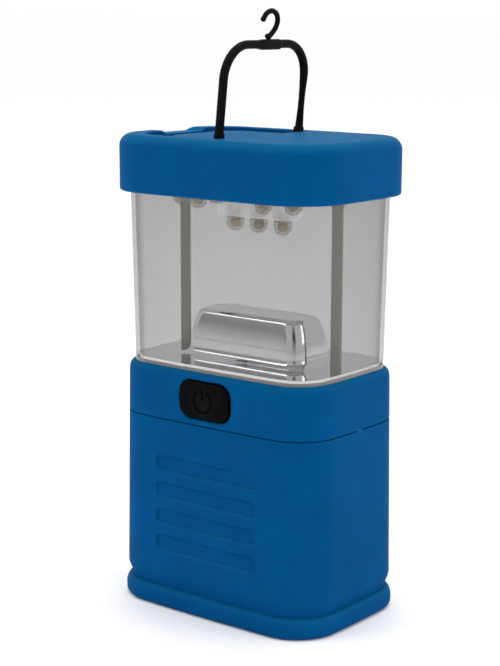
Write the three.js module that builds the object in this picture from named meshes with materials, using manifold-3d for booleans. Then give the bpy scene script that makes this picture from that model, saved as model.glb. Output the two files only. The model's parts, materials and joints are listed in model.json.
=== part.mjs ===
// Camping lantern: a small box-shaped LED lantern that runs on four AA cells.
// Millimetres, +Z up. The front, which carries the button, faces -Y, and the
// origin is on the ground under the middle of the body.

import * as THREE from "three";
import { mergeVertices } from "three/addons/utils/BufferGeometryUtils.js";
import Module from "manifold-3d";

const wasm = await Module();
wasm.setup();

// ---------------------------------------------------------------- dimensions

const gap = 0.3; // between pieces that touch
const wall = 2;
const past = 1; // how far a cutter runs beyond the surface it opens

// The body seen from above: a rounded rectangle whose sides bow outwards.
const body = { width: 69.2, depth: 46.4, corner: 11.2, bowX: 0.8, bowY: 0.8 };
const bodySide = body.width / 2 + body.bowX;
const bodyFront = body.depth / 2 + body.bowY;

const grooveZ = 6; // groove between the foot and the lower housing
const seamZ = 56; // seam between the two housings
const shoulderZ = 71; // top of the upper housing
const capZ = 119.5; // underside of the cap
const capTopZ = 135.4;

const flarePerSide = 1.1; // the housings widen by this from the shoulder to the ground
const flare = (z) => flarePerSide * (1 - z / shoulderZ);

const lensInset = { low: 1.8, high: 0.8 }; // outer face, from the body's outline
const lensWall = 1.2;
const lensGrip = 1.3; // how far the lens goes into the housing and the cap

const capOverhang = 2.2;
const capRound = 3.5; // round edge of the cap's top

const cell = { radius: 7.1, length: 50.5, nubRadius: 2.75, nubHeight: 1.2, pitch: 16 }; // AA
const cellFloorZ = 3.5;

const led = { radius: 2.5, flange: 2.9, length: 8.6, flangeHeight: 1 }; // 5 mm LED
const ledBoardZ = 124;

const button = { width: 17.7, height: 10.5, corner: 3.7, z: 63.4, proud: 0.9, depth: 4.8 };

const strip = { x: 27.2, width: 3.2, thickness: 1.2, bottom: 63, top: ledBoardZ - gap };

const bail = { halfSpan: 18, rise: 27.1, corner: 9.2, radius: 1.25, eye: 1.8, pivotZ: 133.2, lean: 6 };
const hookPin = 0.6;
const hookHead = { radius: 0.95, top: -1.15, thickness: 0.3 }; // sunk in the underside of the top bar

// ------------------------------------------------------------------ materials

function plastic(color, roughness = 0.5) {
  return new THREE.MeshStandardMaterial({ color, roughness, metalness: 0 });
}

function metal(color, roughness) {
  return new THREE.MeshStandardMaterial({ color, roughness, metalness: 1 });
}

const bluePlastic = plastic(0x0a6fc2);
const blackPlastic = plastic(0x141414, 0.45);
const whitePlastic = plastic(0xe6e6e2);
const clearPlastic = plastic(0xe4e6e8, 0.08);
clearPlastic.transparent = true;
clearPlastic.opacity = 0.3;
const ledEpoxy = plastic(0xf2efe2, 0.15);
const boardGreen = plastic(0x1f5b38, 0.55);
const cellWrap = plastic(0x2e3236, 0.35);
const redWire = plastic(0xa81f1c);
const chrome = metal(0xdcdee0, 0.06);
const nickel = metal(0x8f8c84, 0.4);
const steel = metal(0xa4a6a8, 0.3);

// --------------------------------------------------------------------- solids

/** A manifold solid from a closed three.js geometry, without its zero-area triangles. */
function solid(geometry) {
  const bare = geometry.clone();
  bare.deleteAttribute("normal");
  bare.deleteAttribute("uv");
  const merged = mergeVertices(bare, 1e-4);
  const index = merged.index.array;
  const triangles = [];
  for (let i = 0; i < index.length; i += 3) {
    const [a, b, c] = index.slice(i, i + 3);
    if (a !== b && b !== c && c !== a) triangles.push(a, b, c);
  }
  return new wasm.Manifold(new wasm.Mesh({
    numProp: 3,
    vertProperties: Float32Array.from(merged.attributes.position.array),
    triVerts: Uint32Array.from(triangles),
  }));
}

/** A named mesh from a manifold solid. */
function piece(name, material, shape) {
  const { vertProperties, triVerts } = shape.getMesh();
  const geometry = new THREE.BufferGeometry();
  geometry.setAttribute("position", new THREE.BufferAttribute(vertProperties, 3));
  geometry.setIndex(new THREE.BufferAttribute(triVerts, 1));
  geometry.computeVertexNormals();
  const mesh = new THREE.Mesh(geometry, material);
  mesh.name = name;
  return mesh;
}

const joined = (first, ...rest) => rest.reduce((whole, next) => whole.add(next), first);
const cut = (first, ...rest) => rest.reduce((whole, next) => whole.subtract(next), first);

/** A box given by its lowest and highest corners. */
function box([x0, y0, z0], [x1, y1, z1]) {
  const geometry = new THREE.BoxGeometry(x1 - x0, y1 - y0, z1 - z0);
  return solid(geometry.translate((x0 + x1) / 2, (y0 + y1) / 2, (z0 + z1) / 2));
}

/** A solid of revolution about a vertical line. The [radius, z] profile runs up the outside. */
function turned(profile, x = 0, y = 0, segments = 16) {
  const points = profile.map(([radius, z]) => new THREE.Vector2(radius, z));
  const geometry = new THREE.LatheGeometry(points, segments);
  return solid(geometry.rotateX(Math.PI / 2).translate(x, y, 0));
}

/** A vertical cylinder. */
function post(x, y, radius, z0, z1, segments = 16) {
  return turned([[0, z0], [radius, z0], [radius, z1], [0, z1]], x, y, segments);
}

/** A cylinder along Y. */
function axle(x, z, radius, y0, y1) {
  const geometry = new THREE.CylinderGeometry(radius, radius, y1 - y0, 16);
  return solid(geometry.translate(x, (y0 + y1) / 2, z));
}

function roundedRectangle(width, height, radius) {
  const x = width / 2 - radius;
  const y = height / 2 - radius;
  const shape = new THREE.Shape();
  shape.absarc(x, -y, radius, -Math.PI / 2, 0);
  shape.absarc(x, y, radius, 0, Math.PI / 2);
  shape.absarc(-x, y, radius, Math.PI / 2, Math.PI);
  shape.absarc(-x, -y, radius, Math.PI, 1.5 * Math.PI);
  return shape;
}

/** A flat shape extruded upwards from z0 to z1. */
function plate(shape, z0, z1, curveSegments = 4) {
  const geometry = new THREE.ExtrudeGeometry(shape, { depth: z1 - z0, bevelEnabled: false, curveSegments });
  return solid(geometry.translate(0, 0, z0));
}

/** A shape drawn as seen from the front, extruded from y1 towards the viewer at y0. */
function frontPlate(shape, y0, y1, z, curveSegments = 4) {
  const geometry = new THREE.ExtrudeGeometry(shape, { depth: y1 - y0, bevelEnabled: false, curveSegments });
  return solid(geometry.rotateX(Math.PI / 2).translate(0, y1, z));
}

/** A round rod along a curve. */
function rod(path, radius, steps, sides = 8) {
  const section = new THREE.Shape().absarc(0, 0, radius, 0, 2 * Math.PI);
  return solid(new THREE.ExtrudeGeometry(section, { extrudePath: path, steps, curveSegments: sides / 2 }));
}

// ------------------------------------------------------------ bodies of outline

const onAxis = null; // profile outset of a point on the middle axis
const cornerSteps = 6;
const corners = [[1, -1, -90], [1, 1, 0], [-1, 1, 90], [-1, -1, 180]]; // x and y side, first angle

/** Points round an outline, anticlockwise from above, grown outwards by outset. Its corners grow
 *  too, unless the outline keeps them. */
function ring(outline, outset) {
  const halfWidth = outline.width / 2 + outset;
  const halfDepth = outline.depth / 2 + outset;
  const radius = outline.keepsCorner ? outline.corner : outline.corner + outset;
  const arcs = corners.map(([sideX, sideY, start]) => Array.from({ length: cornerSteps + 1 }, (_, i) => {
    const angle = THREE.MathUtils.degToRad(start + 90 * i / cornerSteps);
    const x = sideX * (halfWidth - radius) + radius * Math.cos(angle);
    const y = sideY * (halfDepth - radius) + radius * Math.sin(angle);
    return new THREE.Vector2(x, y);
  }));
  const points = arcs.flatMap((arc, i) => {
    const next = arcs[(i + 1) % arcs.length][0];
    const between = i % 2 ? [0.25, 0.5, 0.75] : [0.5]; // the long sides have more points
    return [...arc, ...between.map((t) => arc.at(-1).clone().lerp(next, t))];
  });
  return points.map(({ x, y }) => {
    const [u, v] = [x / halfWidth, y / halfDepth];
    const bowX = outline.bowX * u * Math.abs(u) * (1 - v * v);
    const bowY = outline.bowY * v * Math.abs(v) * (1 - u * u);
    return new THREE.Vector2(x + bowX, y + bowY);
  });
}

/** A lathe profile of [outset, z] pairs, carried round an outline instead of a circle. It runs
 *  up the outside, and either starts and ends on the axis or closes on itself. */
function sweep(outline, profile) {
  const rings = profile.map(([outset]) => (outset === onAxis ? null : ring(outline, outset)));
  const count = ring(outline, 0).length;
  const geometry = new THREE.LatheGeometry(profile.map(([, z]) => new THREE.Vector2(1, z)), count);
  const position = geometry.attributes.position;
  for (let turn = 0; turn <= count; turn++) {
    profile.forEach(([, z], row) => {
      const { x, y } = rings[row] ? rings[row][turn % count] : { x: 0, y: 0 };
      position.setXYZ(turn * profile.length + row, x, y, z);
    });
  }
  return solid(geometry);
}

/** Profile points on an elliptic arc round [outset, z], from one angle to another in degrees. */
function arc([outset, z], [acrossRadius, upRadius], from, to, steps) {
  return Array.from({ length: steps + 1 }, (_, i) => {
    const angle = THREE.MathUtils.degToRad(from + (to - from) * i / steps);
    return [outset + acrossRadius * Math.cos(angle), z + upRadius * Math.sin(angle)];
  });
}

/** Both signs of x and y in turn: the four corners of a symmetric layout. */
const quarters = [[-1, -1], [1, -1], [1, 1], [-1, 1]];

// ------------------------------------------------------------------ base shells

const floorZ = { low: 1, high: 2.8 }; // the bottom cover's floor
const footInset = 6; // inner edge of the flat ring that stands on the ground
const spigot = { inset: wall + gap, wall: 1.2, top: 9.5 };
const grooveDepth = 1.4;
const footWidest = { bulge: 0.5, z: 2 };
const footRound = 1.9; // how far the foot rounds under

const baseScrew = { out: 7.8, shaft: 1.35, head: 2.4, headZ: 0.4, headHeight: 1, top: 18 };
const screwX = body.width / 2 - body.corner + baseScrew.out * Math.SQRT1_2;
const screwY = body.depth / 2 - body.corner + baseScrew.out * Math.SQRT1_2;

const door = { width: 40, depth: 33, corner: 3, thickness: 1.5, barrel: 0.9, barrelLength: 31 };
const doorZ = floorZ.low + 0.2;
const hingeX = -(door.width / 2 + door.barrel + gap);
const hingeZ = (floorZ.low + floorZ.high) / 2;

function bottomCover() {
  const widest = flare(0) + footWidest.bulge;
  const grooveFloor = flare(grooveZ) - grooveDepth;
  const coverTop = grooveZ - gap / 2;
  const shell = sweep(body, [
    [onAxis, floorZ.low],
    [-footInset - 0.6, floorZ.low],
    [-footInset, 0],
    ...arc([widest - footRound, footWidest.z], [footRound, footWidest.z], -90, 0, 3),
    ...arc([grooveFloor, footWidest.z + 1], [widest - grooveFloor, coverTop - footWidest.z - 1], 0, 90, 3),
    [-spigot.inset, coverTop],
    [-spigot.inset, spigot.top],
    [-spigot.inset - spigot.wall, spigot.top],
    [-spigot.inset - spigot.wall, floorZ.high],
    [onAxis, floorZ.high],
  ]);
  const opening = plate(
    roundedRectangle(door.width + 2 * gap, door.depth + 2 * gap, door.corner + gap),
    floorZ.low - past,
    floorZ.high + past,
  );
  const slotX = hingeX - door.barrel - gap;
  const slotY = door.barrelLength / 2 + gap;
  const hingeSlot = box([slotX, -slotY, floorZ.low - past], [0, slotY, floorZ.high + past]);
  const screwHoles = quarters.flatMap(([sideX, sideY]) => [
    post(sideX * screwX, sideY * screwY, baseScrew.shaft + gap, -past, spigot.top + past, 12),
    post(sideX * screwX, sideY * screwY, baseScrew.head + gap, -past, baseScrew.headZ + baseScrew.headHeight + gap),
  ]);
  return cut(shell, opening, hingeSlot, ...screwHoles);
}

function batteryDoor() {
  const leaf = plate(roundedRectangle(door.width, door.depth, door.corner), doorZ, doorZ + door.thickness);
  const barrel = axle(hingeX, hingeZ, door.barrel, -door.barrelLength / 2, door.barrelLength / 2);
  const arm = (y) => box([hingeX, y - 2, hingeZ - 0.6], [hingeX + 3, y + 2, hingeZ + 0.6]);
  const fingerGrip = plate(roundedRectangle(3, 12, 1.4), doorZ - past, doorZ + 0.7);
  return cut(joined(leaf, barrel, arm(-10), arm(10)), fingerGrip.translate(door.width / 2 - 3.5, 0, 0));
}

const grip = { count: 4, pitch: 7.85, topZ: 43, width: 36.2, height: 4.9, corner: 1.5, depth: 0.8 };
const chamferTopZ = 10.2;
const tongue = { inset: wall + gap, wall: 1.2, top: seamZ + 1.6 };
const latch = { width: 4, bottom: seamZ - 2, top: seamZ + 1.3 }; // tab that bridges the seam

function lowerHousing() {
  const top = seamZ - gap / 2;
  const tongueInner = -tongue.inset - tongue.wall;
  const shell = sweep(body, [
    [flare(grooveZ) - grooveDepth, grooveZ + gap / 2],
    [flare(chamferTopZ), chamferTopZ],
    [flare(top), top],
    [-tongue.inset, top],
    [-tongue.inset, tongue.top],
    [tongueInner, tongue.top],
    [tongueInner, seamZ - 3],
    [-wall, seamZ - 5],
    [-wall, grooveZ + gap / 2],
    [flare(grooveZ) - grooveDepth, grooveZ + gap / 2],
  ]);
  const recesses = [1, -1].flatMap((side) => Array.from({ length: grip.count }, (_, i) => {
    const z = grip.topZ - i * grip.pitch;
    const depthY = bodyFront + flare(z) - grip.depth;
    const range = side > 0 ? [depthY, depthY + 3] : [-depthY - 3, -depthY];
    return frontPlate(roundedRectangle(grip.width, grip.height, grip.corner), ...range, z, 2);
  }));
  const bossTop = 22;
  const bosses = quarters.map(([x, y]) => post(x * screwX, y * screwY, 3, spigot.top + gap, bossTop, 12));
  const pilotHoles = quarters.map(([x, y]) => (
    post(x * screwX, y * screwY, baseScrew.shaft + gap, spigot.top, bossTop - past, 12)
  ));
  const tabs = [-1, 1].map((side) => {
    const [inner, outer] = [bodySide - 1.2, bodySide + flare(seamZ)];
    const [x0, x1] = side > 0 ? [inner, outer] : [-outer, -inner];
    return box([x0, -latch.width / 2, latch.bottom], [x1, latch.width / 2, latch.top]);
  });
  return cut(joined(shell, ...bosses, ...tabs), ...recesses, ...pilotHoles);
}

const shoulderRound = 2.7;
const pocket = { outer: lensInset.low - gap, inner: lensInset.low + lensWall + gap, z: shoulderZ - lensGrip - gap };
const pocketFloorZ = pocket.z - 1.2;
const deckZ = shoulderZ - 1.4; // underside of the deck that carries the reflector

/** Box cutters that let both conductor strips pass through a plate. */
function stripSlots(z0, z1) {
  const halfX = strip.width / 2 + gap;
  const halfY = strip.thickness / 2 + gap;
  return [-1, 1].map((side) => box([side * strip.x - halfX, -halfY, z0], [side * strip.x + halfX, halfY, z1]));
}

function upperHousing() {
  const bottom = seamZ + gap / 2;
  const lip = THREE.MathUtils.radToDeg(Math.acos((shoulderRound - pocket.outer) / shoulderRound));
  const shell = sweep(body, [
    [-wall, bottom],
    [flare(bottom), bottom],
    ...arc([-shoulderRound, shoulderZ - shoulderRound], [shoulderRound, shoulderRound], 0, lip, 4),
    [-pocket.outer, pocket.z],
    [-pocket.inner, pocket.z],
    [-pocket.inner, shoulderZ],
    [onAxis, shoulderZ],
    [onAxis, deckZ],
    [-pocket.inner - 1.4, deckZ],
    [-pocket.inner - 1.4, pocketFloorZ],
    [-wall, pocketFloorZ],
    [-wall, bottom],
  ]);
  const opening = frontPlate(
    roundedRectangle(button.width + 0.8, button.height + 0.8, button.corner + 0.4),
    -bodyFront - 3,
    -bodyFront + button.depth + 2,
    button.z,
  );
  const notches = [-1, 1].map((side) => {
    const [inner, outer] = [bodySide - 1.2 - gap, bodySide + 2];
    const [x0, x1] = side > 0 ? [inner, outer] : [-outer, -inner];
    return box([x0, -latch.width / 2 - gap, bottom - past], [x1, latch.width / 2 + gap, latch.top + gap]);
  });
  return cut(shell, opening, ...notches, ...stripSlots(pocketFloorZ - past, shoulderZ + past));
}

// --------------------------------------------------------- cells and contacts

const cellPlaces = quarters.map(([x, y]) => [x * cell.pitch / 2, y * cell.pitch / 2]);
const cellTopZ = cellFloorZ + cell.length;
const cage = { bottom: cellFloorZ + 0.8, top: 58.5, bore: cell.radius + 0.4, wall: 1.3 };
const boreTopZ = cage.top - 1.2;

function batteryCage() {
  const size = cell.pitch + 2 * (cage.bore + cage.wall);
  const block = plate(roundedRectangle(size, size, cage.bore + cage.wall), cage.bottom, cage.top, 6);
  const bores = cellPlaces.map(([x, y]) => post(x, y, cage.bore, cage.bottom - past, boreTopZ, 20));
  return cut(block, ...bores);
}

/** An AA cell standing at x, y. Its positive end is up or down. */
function aaCell(x, y, positiveUp) {
  const shoulder = cell.length - cell.nubHeight;
  const profile = [
    [0, 0],
    [cell.radius - 0.5, 0],
    [cell.radius, 0.5],
    [cell.radius, shoulder - 0.5],
    [cell.radius - 0.5, shoulder],
    [cell.nubRadius, shoulder],
    [cell.nubRadius, cell.length],
    [0, cell.length],
  ];
  const upright = profile.map(([radius, z]) => [radius, cellFloorZ + z]);
  const inverted = profile.map(([radius, z]) => [radius, cellTopZ - z]).reverse();
  return turned(positiveUp ? upright : inverted, x, y, 18);
}

function doorContact(side) {
  const shape = roundedRectangle(10, 29, 2);
  return plate(shape, doorZ + door.thickness + 0.2, cellFloorZ - 0.2, 2).translate(side * cell.pitch / 2, 0, 0);
}

/** Coil spring between a cell's flat end and the top of its bore. */
function contactSpring(x, y) {
  const wire = 0.35;
  const [low, high] = [cellTopZ + gap + wire, boreTopZ - gap - wire];
  const turns = 3;
  const coil = new THREE.Curve();
  coil.getPoint = (t, target = new THREE.Vector3()) => {
    const radius = 2.6 + 1.6 * t;
    const angle = 2 * Math.PI * turns * t;
    return target.set(x + radius * Math.cos(angle), y + radius * Math.sin(angle), low + (high - low) * t);
  };
  return rod(coil, wire, turns * 9, 6);
}

/** Pressed contact that meets a cell's positive nub. */
function nubContact(x, y) {
  const low = cellTopZ + gap;
  const high = boreTopZ - gap;
  return turned([[0, low], [1.6, low], [2.2, high - 0.4], [5, high - 0.4], [5, high], [0, high]], x, y);
}

// ------------------------------------------------------------ switch and board

const buttonFront = -(bodyFront + flare(button.z) + button.proud);
const board = { halfWidth: 16, front: -15, back: 12, bottom: 60, thickness: 1.6 };
const plunger = { radius: 1.6, back: board.front - 1.8 };

/** The on/off symbol: a broken ring with a bar through the break. */
function powerSymbol() {
  const halfBreak = 0.6;
  const [outer, inner] = [3.5, 2.7];
  const top = Math.PI / 2;
  const ringShape = new THREE.Shape();
  ringShape.absarc(0, 0, outer, top + halfBreak, top - halfBreak + 2 * Math.PI);
  ringShape.absarc(0, 0, inner, top - halfBreak + 2 * Math.PI, top + halfBreak, true);
  const depth = 0.4;
  const recessed = (shape, z) => frontPlate(shape, buttonFront - past, buttonFront + depth, z, 6);
  return joined(recessed(ringShape, button.z), recessed(roundedRectangle(0.8, 3.2, 0.35), button.z + 1.6));
}

function switchButton() {
  const edge = 0.8;
  const shape = roundedRectangle(button.width - 2 * edge, button.height - 2 * edge, button.corner - edge);
  const geometry = new THREE.ExtrudeGeometry(shape, {
    depth: button.depth - 2 * edge,
    bevelThickness: edge,
    bevelSize: edge,
    bevelSegments: 2,
    curveSegments: 4,
  });
  const keycap = solid(geometry.rotateX(Math.PI / 2).translate(0, buttonFront + button.depth - edge, button.z));
  return cut(keycap, powerSymbol());
}

function switchPlunger() {
  return axle(0, button.z, plunger.radius, buttonFront + button.depth + 0.2, plunger.back);
}

function switchBody() {
  const low = board.bottom + board.thickness + 0.2;
  return box([-4, board.front, low], [4, board.front + 7, low + 4]);
}

function switchBoard() {
  const high = board.bottom + board.thickness;
  return box([-board.halfWidth, board.front, board.bottom], [board.halfWidth, board.back, high]);
}

/** Wire from the switch board to the foot of a conductor strip. */
function leadWire(side) {
  const radius = 0.6;
  const start = board.bottom + board.thickness + radius + 0.2;
  const path = new THREE.CatmullRomCurve3([
    new THREE.Vector3(side * (board.halfWidth - 5), 6, start),
    new THREE.Vector3(side * (board.halfWidth - 1), 6, start + 0.2),
    new THREE.Vector3(side * (strip.x - 6), 4, start + 1.6),
    new THREE.Vector3(side * (strip.x - 1), strip.thickness / 2 + radius + gap, strip.bottom + 2),
  ]);
  return rod(path, radius, 8, 6);
}

function conductorStrip(side) {
  const [halfX, halfY] = [strip.width / 2, strip.thickness / 2];
  return box([side * strip.x - halfX, -halfY, strip.bottom], [side * strip.x + halfX, halfY, strip.top]);
}

// ------------------------------------------------------------- lens and reflector

function lensTube() {
  const low = shoulderZ - lensGrip;
  const high = capZ + lensGrip;
  return sweep(body, [
    [-lensInset.low, low],
    [-lensInset.high, high],
    [-lensInset.high - lensWall, high],
    [-lensInset.low - lensWall, low],
    [-lensInset.low, low],
  ]);
}

const tray = { inset: pocket.inner, low: shoulderZ + gap, thickness: 0.9 };
const trayTopZ = tray.low + tray.thickness;
const hat = { width: 40.9, depth: 17.3, corner: 4.6, keepsCorner: true, bowX: 0, bowY: 0 }; // at its foot
const hatTopZ = 85.3;
const hatFlare = 2.6; // concave foot, where the hat runs out into the tray
const hatCrown = 1.7; // how far a side curves in by the time it meets the round top edge
const hatRound = { radius: 2, from: 20 }; // the top edge, and the side's slant in degrees where it starts

/** The raised middle of the reflector, drawn in by inset all over. */
function hatSolid(inset) {
  const top = hatTopZ - inset;
  const foot = tray.low - (inset ? past : 0);
  const flareTop = trayTopZ + hatFlare;
  const slant = THREE.MathUtils.degToRad(hatRound.from);
  const roundCentre = [-hatCrown - hatRound.radius * Math.cos(slant) - inset, top - hatRound.radius];
  const roundStart = roundCentre[1] + hatRound.radius * Math.sin(slant);
  const side = [0.35, 0.7].map((t) => [-hatCrown * t * t - inset, flareTop + (roundStart - flareTop) * t]);
  return sweep(hat, [
    [onAxis, foot],
    [hatFlare - inset, foot],
    ...arc([hatFlare - inset, flareTop], [hatFlare, hatFlare], 270, 180, 3),
    ...side,
    ...arc(roundCentre, [hatRound.radius, hatRound.radius], hatRound.from, 90, 3),
    [onAxis, top],
  ]);
}

function reflector() {
  const sheet = sweep(body, [
    [onAxis, tray.low],
    [-tray.inset - 0.4, tray.low],
    [-tray.inset, trayTopZ - 0.3],
    [-tray.inset - 0.4, trayTopZ],
    [onAxis, trayTopZ],
  ]);
  return cut(joined(sheet, hatSolid(0)), hatSolid(tray.thickness), ...stripSlots(tray.low - past, trayTopZ + past));
}

// ------------------------------------------------------------------ LED carrier

const carrier = { inset: 3.1, bottom: 119.2, thickness: 1.5, islandZ: 112.4 };
const carrierTopZ = carrier.bottom + carrier.thickness;
const halfRing = [[-12.2, -12], [11, -12], [18.6, -8.6], [21.5, 8.3]];
const ringPlaces = halfRing.flatMap(([x, y]) => [[x, y], [-x, -y]]); // each with its opposite
const centrePlaces = [-8.5, 0, 8.5].map((x) => [x, 0]);
const ringTipZ = 115;
const centreTipZ = 107.8;
const carrierScrewY = 18.5;
const carrierScrew = { shaft: 1.1, head: 2, headHeight: 0.9, length: 8 };

function ledCarrier() {
  const sheet = sweep(body, [
    [onAxis, carrier.bottom],
    [-carrier.inset, carrier.bottom],
    [-carrier.inset, carrierTopZ],
    [onAxis, carrierTopZ],
  ]);
  const island = plate(roundedRectangle(28, 9.4, 4.6), carrier.islandZ, carrier.bottom + 0.5);
  const hole = (radius) => ([x, y]) => post(x, y, radius, carrier.islandZ - past, carrierTopZ + past, 12);
  const screwHoles = [-1, 1].map((side) => hole(carrierScrew.shaft + gap)([0, side * carrierScrewY]));
  return cut(
    joined(sheet, island),
    ...ringPlaces.map(hole(led.radius + gap)),
    ...centrePlaces.map(hole(led.flange + gap)),
    ...screwHoles,
    ...stripSlots(carrier.bottom - past, carrierTopZ + past),
  );
}

/** A 5 mm LED that points down, with its tip at tipZ and its two legs up to the board. */
function ledBulb([x, y], tipZ) {
  const flangeZ = tipZ + led.length - led.flangeHeight;
  const dome = arc([0, tipZ + led.radius], [led.radius, led.radius], -90, 0, 3);
  const bulb = turned([
    [0, tipZ],
    ...dome.slice(1),
    [led.radius, flangeZ],
    [led.flange, flangeZ],
    [led.flange, tipZ + led.length],
    [0, tipZ + led.length],
  ], x, y, 10);
  const legs = [-1.27, 1.27].map((offset) => box(
    [x + offset - 0.25, y - 0.25, flangeZ],
    [x + offset + 0.25, y + 0.25, ledBoardZ - 0.1],
  ));
  return joined(bulb, ...legs);
}

function ledBoard() {
  return plate(roundedRectangle(61, 31, 10), ledBoardZ, ledBoardZ + 1.6);
}

function carrierScrewShape(side) {
  const head = carrier.bottom - gap;
  return joined(
    post(0, side * carrierScrewY, carrierScrew.head, head - carrierScrew.headHeight, head, 12),
    post(0, side * carrierScrewY, carrierScrew.shaft, head - gap, head + carrierScrew.length, 8),
  );
}

function baseScrewShape(x, y) {
  const headTop = baseScrew.headZ + baseScrew.headHeight;
  const screw = joined(
    post(x, y, baseScrew.head, baseScrew.headZ, headTop),
    post(x, y, baseScrew.shaft, headTop - gap, baseScrew.top, 12),
  );
  const slotWidth = 0.35;
  const bottom = baseScrew.headZ - past;
  const slotTop = baseScrew.headZ + 0.5;
  return cut(
    screw,
    box([x - 1.5, y - slotWidth, bottom], [x + 1.5, y + slotWidth, slotTop]),
    box([x - slotWidth, y - 1.5, bottom], [x + slotWidth, y + 1.5, slotTop]),
  );
}

// -------------------------------------------------------------------------- cap

const channel = { halfWidth: 20, front: 2.2, reach: 30.5, corner: 11, floor: bail.pivotZ - bail.eye - gap };
const island = { halfWidth: 15.3, reach: 23, corner: 7.5, topZ: capTopZ - 0.6 };
const capCavityZ = channel.floor - 1.7;
const pivotPin = { radius: 0.9, end: channel.halfWidth + 1.8 };
const notch = { middle: 3.3, halfWidth: 7.6, run: 2, floor: capTopZ - 1.1 };

/** Rounded rectangle that spans x from -reach to front, both sides of the X axis. */
function tongueShape({ halfWidth, front, reach, corner }, z0, z1) {
  const shape = roundedRectangle(front + reach, 2 * halfWidth, corner);
  return plate(shape, z0, z1, 6).translate((front - reach) / 2, 0, 0);
}

/** The U-shaped channel that the folded bail lies in, round a low island. */
function bailChannel() {
  const end = channel.front + channel.corner;
  const trench = tongueShape({ ...channel, front: end }, channel.floor, capTopZ + past);
  const middle = tongueShape({ ...island, front: end + island.corner }, channel.floor - past, island.topZ);
  const beyond = box([channel.front, -capTopZ, channel.floor - past], [capTopZ, capTopZ, capTopZ + 2 * past]);
  return cut(trench, beyond, middle);
}

/** The dip in the left rim that the folded hook lies over. */
function rimNotch() {
  const { halfWidth, run, floor } = notch;
  const shape = new THREE.Shape();
  shape.moveTo(-halfWidth - run, capTopZ + past);
  shape.lineTo(-halfWidth - run, capTopZ);
  shape.bezierCurveTo(-halfWidth - run / 2, capTopZ, -halfWidth - run / 2, floor, -halfWidth, floor);
  shape.lineTo(halfWidth, floor);
  shape.bezierCurveTo(halfWidth + run / 2, floor, halfWidth + run / 2, capTopZ, halfWidth + run, capTopZ);
  shape.lineTo(halfWidth + run, capTopZ + past);
  const length = bodySide + capOverhang + past;
  const inner = channel.reach - 3;
  const geometry = new THREE.ExtrudeGeometry(shape, { depth: length - inner, bevelEnabled: false, curveSegments: 5 });
  geometry.rotateX(Math.PI / 2).rotateZ(-Math.PI / 2);
  return solid(geometry.translate(-inner, notch.middle, 0));
}

function topCap() {
  const edge = 0.8;
  const lip = lensInset.high - gap;
  const pocketTop = capZ + lensGrip + gap;
  const cavityInset = lensInset.high + lensWall + 0.8;
  const shell = sweep(body, [
    [-lip, capZ],
    ...arc([capOverhang - edge, capZ + edge], [edge, edge], -90, 0, 3),
    ...arc([capOverhang - capRound, capTopZ - capRound], [capRound, capRound], 0, 90, 5),
    [onAxis, capTopZ],
    [onAxis, capCavityZ],
    [-cavityInset, capCavityZ],
    [-cavityInset, pocketTop],
    [-lip, pocketTop],
    [-lip, capZ],
  ]);
  const screwPosts = [-1, 1].map((side) => (
    cut(
      post(0, side * carrierScrewY, 2.6, carrierTopZ + gap, capCavityZ + 0.5, 12),
      post(0, side * carrierScrewY, carrierScrew.shaft + gap, carrierTopZ, carrierTopZ + carrierScrew.length, 12),
    )
  ));
  const hole = pivotPin.radius + 0.25;
  const pinHoles = [-1, 1].map((side) => {
    const [near, far] = [side * (channel.halfWidth - 1), side * (pivotPin.end + gap)];
    return axle(0, bail.pivotZ, hole, Math.min(near, far), Math.max(near, far));
  });
  return cut(joined(shell, ...screwPosts), bailChannel(), rimNotch(), ...pinHoles);
}

// ---------------------------------------------------------------- bail and hook

/** A quarter turn from one straight to the next, tangent to both at the corner point. */
function bend(from, corner, to) {
  const handle = 0.5523; // Bezier handle length of a quarter circle
  return new THREE.CubicBezierCurve3(from, from.clone().lerp(corner, handle), to.clone().lerp(corner, handle), to);
}

/** The bail upright over its pivot, which is the origin here. */
function bailHandle() {
  const { halfSpan, rise, corner, radius } = bail;
  const at = (y, z) => new THREE.Vector3(0, y, z);
  const path = new THREE.CurvePath();
  path.add(new THREE.LineCurve3(at(-halfSpan, 0), at(-halfSpan, rise - corner)));
  path.add(bend(at(-halfSpan, rise - corner), at(-halfSpan, rise), at(corner - halfSpan, rise)));
  path.add(new THREE.LineCurve3(at(corner - halfSpan, rise), at(halfSpan - corner, rise)));
  path.add(bend(at(halfSpan - corner, rise), at(halfSpan, rise), at(halfSpan, rise - corner)));
  path.add(new THREE.LineCurve3(at(halfSpan, rise - corner), at(halfSpan, 0)));
  const feet = [-1, 1].flatMap((side) => {
    const span = (a, b) => [side * a, side * b].sort((p, q) => p - q);
    const eye = axle(0, 0, bail.eye, ...span(halfSpan - radius - 1, halfSpan + radius));
    const pin = axle(0, 0, pivotPin.radius, ...span(halfSpan, pivotPin.end));
    return [eye, pin];
  });
  const saddle = axle(0, rise - 0.1, radius + 0.2, -3.5, 5.5);
  const hookHole = post(0, 0, hookPin + 0.2, rise - 2 * radius, rise + 2 * radius, 12);
  const headRecess = post(0, 0, hookHead.radius + gap, rise - 2 * radius, rise + hookHead.top + gap, 12);
  return cut(joined(rod(path, radius, 28, 8), ...feet, saddle), hookHole, headRecess);
}

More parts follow.
